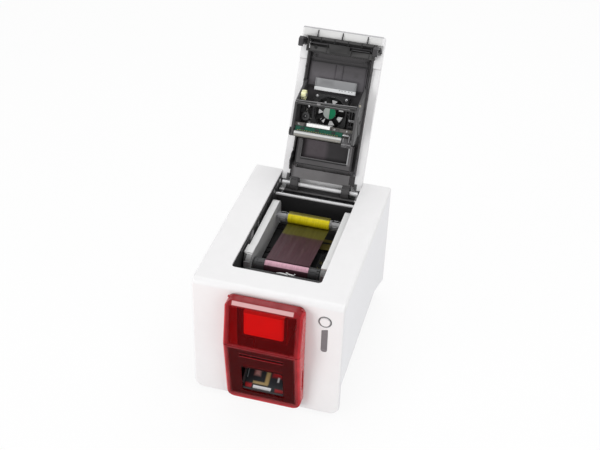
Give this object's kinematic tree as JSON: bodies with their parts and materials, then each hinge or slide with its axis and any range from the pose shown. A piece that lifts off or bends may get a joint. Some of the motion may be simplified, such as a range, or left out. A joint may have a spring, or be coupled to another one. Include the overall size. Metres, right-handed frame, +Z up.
{
  "type": "id card printer",
  "caption": "Desktop plastic-card printer with its lid open, red card feeder and output hopper on the front, ribbon cartridge and print head inside",
  "frame": {"origin": "on the table under the middle of the case's footprint", "axes": "+X to the right seen from the front, -Y out of the front, +Z up"},
  "size_m": [0.205, 0.4167, 0.3866],
  "materials": {
    "white_case": "satin",
    "dark_plastic": "matte",
    "grey_plastic": "matte",
    "light_grey": "matte",
    "red_clear": "gloss",
    "steel": "polished",
    "frame_steel": "satin",
    "rubber": "matte",
    "board": "satin",
    "card_white": "gloss",
    "card_print": "gloss",
    "ribbon": "gloss",
    "ribbon_yellow": "gloss",
    "ribbon_dark": "gloss",
    "gear_white": "matte",
    "ceramic": "gloss",
    "light_pipe": "gloss",
    "connector": "satin",
    "wheel_cream": "matte"
  },
  "bodies": {
    "chassis": {"outer_case": "white_case", "rear_panel": "white_case", "base_tray": "dark_plastic", "rubber_feet": "rubber", "left_frame": "frame_steel", "right_frame": "frame_steel", "rear_bridge": "grey_plastic", "hinge_shaft": "steel", "tie_bar": "steel", "latch_catches": "steel", "card_guide": "dark_plastic", "main_board": "board", "drive_motor": "frame_steel", "ribbon_motor": "frame_steel", "power_socket": "dark_plastic", "usb_socket": "connector", "network_socket": "connector", "case_screws": "steel", "feeder_tray": "dark_plastic", "card_stack": "card_white", "hopper_cover": "red_clear", "hopper_tray": "dark_plastic", "printed_card": "card_print", "button_ring": "grey_plastic", "status_light": "light_pipe", "control_board": "board"},
    "lid": {"lid_shell": "white_case", "lid_inner_frame": "dark_plastic", "lid_front_bar": "grey_plastic", "head_cradle": "dark_plastic", "sensor_plate": "light_grey", "fan_frame": "dark_plastic", "head_carrier": "grey_plastic", "head_board": "board", "print_head": "ceramic", "head_cable": "card_white"},
    "latches": {"latch_bar": "dark_plastic"},
    "wheel": {"release_wheel": "wheel_cream"},
    "fan": {"fan_rotor": "dark_plastic"},
    "lever": {"head_lever": "grey_plastic"},
    "knob": {"head_knob": "grey_plastic"},
    "cartridge": {"cartridge_frame": "light_grey", "ribbon_film": "ribbon"},
    "supply": {"supply_spool": "light_grey", "supply_ribbon": "ribbon_yellow"},
    "takeup": {"takeup_spool": "dark_plastic", "takeup_ribbon": "ribbon_dark"},
    "platen": {"platen_roller": "rubber", "platen_gear": "gear_white"},
    "transport": {"transport_roller": "rubber", "transport_gear": "gear_white"},
    "pick": {"pick_roller": "rubber", "pick_gear": "gear_white"},
    "main_idler": {"main_idler": "gear_white"},
    "pick_idler": {"pick_idler": "gear_white"},
    "pinion": {"motor_pinion": "gear_white"},
    "front_cover": {"feeder_cover": "red_clear"},
    "pusher": {"card_pusher": "dark_plastic"},
    "button": {"control_button": "white_case"}
  },
  "joints": [
    {"name": "lid_hinge", "type": "hinge", "parent": "chassis", "child": "lid", "pos_m": [0, 0.128, 0.183], "axis": [1, 0, 0], "range_deg": [0, 118.5], "deforming": ["ribbon_film"]},
    {"name": "latch_swing", "type": "hinge", "parent": "lid", "child": "latches", "pos_m": [0, 0.22238, 0.3673], "axis": [1, 0, 0], "range_deg": [0, 10]},
    {"name": "wheel_spin", "type": "hinge", "parent": "lid", "child": "wheel", "pos_m": [-0.04, 0.16766, 0.31053], "axis": [1, 0, 0], "continuous": true},
    {"name": "fan_spin", "type": "hinge", "parent": "lid", "child": "fan", "pos_m": [0, 0.17042, 0.28628], "axis": [0, 0.8788, -0.4772], "continuous": true},
    {"name": "head_lever_turn", "type": "hinge", "parent": "lid", "child": "lever", "pos_m": [0.035, 0.12743, 0.27207], "axis": [1, 0, 0], "range_deg": [0, 15]},
    {"name": "head_knob_turn", "type": "hinge", "parent": "lid", "child": "knob", "pos_m": [-0.047, 0.12743, 0.27207], "axis": [1, 0, 0], "range_deg": [-90, 90]},
    {"name": "cartridge_lift", "type": "slide", "parent": "chassis", "child": "cartridge", "axis": [0, 0, -1], "range_m": [-0.06, 0]},
    {"name": "supply_spin", "type": "hinge", "parent": "cartridge", "child": "supply", "pos_m": [0, 0.07, 0.164], "axis": [1, 0, 0], "continuous": true},
    {"name": "takeup_spin", "type": "hinge", "parent": "cartridge", "child": "takeup", "pos_m": [0, -0.046, 0.162], "axis": [1, 0, 0], "continuous": true},
    {"name": "platen_spin", "type": "hinge", "parent": "chassis", "child": "platen", "pos_m": [0, 0.048, 0.127], "axis": [1, 0, 0], "continuous": true},
    {"name": "transport_spin", "type": "hinge", "parent": "chassis", "child": "transport", "pos_m": [0, -0.027, 0.127], "axis": [1, 0, 0], "continuous": true},
    {"name": "pick_spin", "type": "hinge", "parent": "chassis", "child": "pick", "pos_m": [0, -0.09, 0.127], "axis": [1, 0, 0], "continuous": true},
    {"name": "main_idler_spin", "type": "hinge", "parent": "chassis", "child": "main_idler", "pos_m": [0.0683, 0.0105, 0.127], "axis": [1, 0, 0], "continuous": true},
    {"name": "pick_idler_spin", "type": "hinge", "parent": "chassis", "child": "pick_idler", "pos_m": [0.0683, -0.0585, 0.127], "axis": [1, 0, 0], "continuous": true},
    {"name": "pinion_spin", "type": "hinge", "parent": "chassis", "child": "pinion", "pos_m": [0.0683, 0.0105, 0.094], "axis": [1, 0, 0], "continuous": true},
    {"name": "front_cover_hinge", "type": "hinge", "parent": "chassis", "child": "front_cover", "pos_m": [0, -0.14662, 0.18192], "axis": [-1, 0, 0], "range_deg": [0, 70]},
    {"name": "pusher_lift", "type": "slide", "parent": "chassis", "child": "pusher", "axis": [0, 0, 1], "range_m": [0, 0.006]},
    {"name": "button_press", "type": "slide", "parent": "chassis", "child": "button", "axis": [0, 0.9999, 0.0138], "range_m": [0, 0.0015], "stiffness_N_per_m": 600, "springref_m": -0.0005}
  ],
  "couplings": [
    {"joint": "takeup_spin", "follows": "supply_spin", "ratio": -0.86735},
    {"joint": "transport_spin", "follows": "platen_spin", "ratio": 1},
    {"joint": "pick_spin", "follows": "platen_spin", "ratio": 1},
    {"joint": "main_idler_spin", "follows": "platen_spin", "ratio": -0.5625},
    {"joint": "pick_idler_spin", "follows": "platen_spin", "ratio": -0.75},
    {"joint": "pinion_spin", "follows": "platen_spin", "ratio": 1.5}
  ]
}
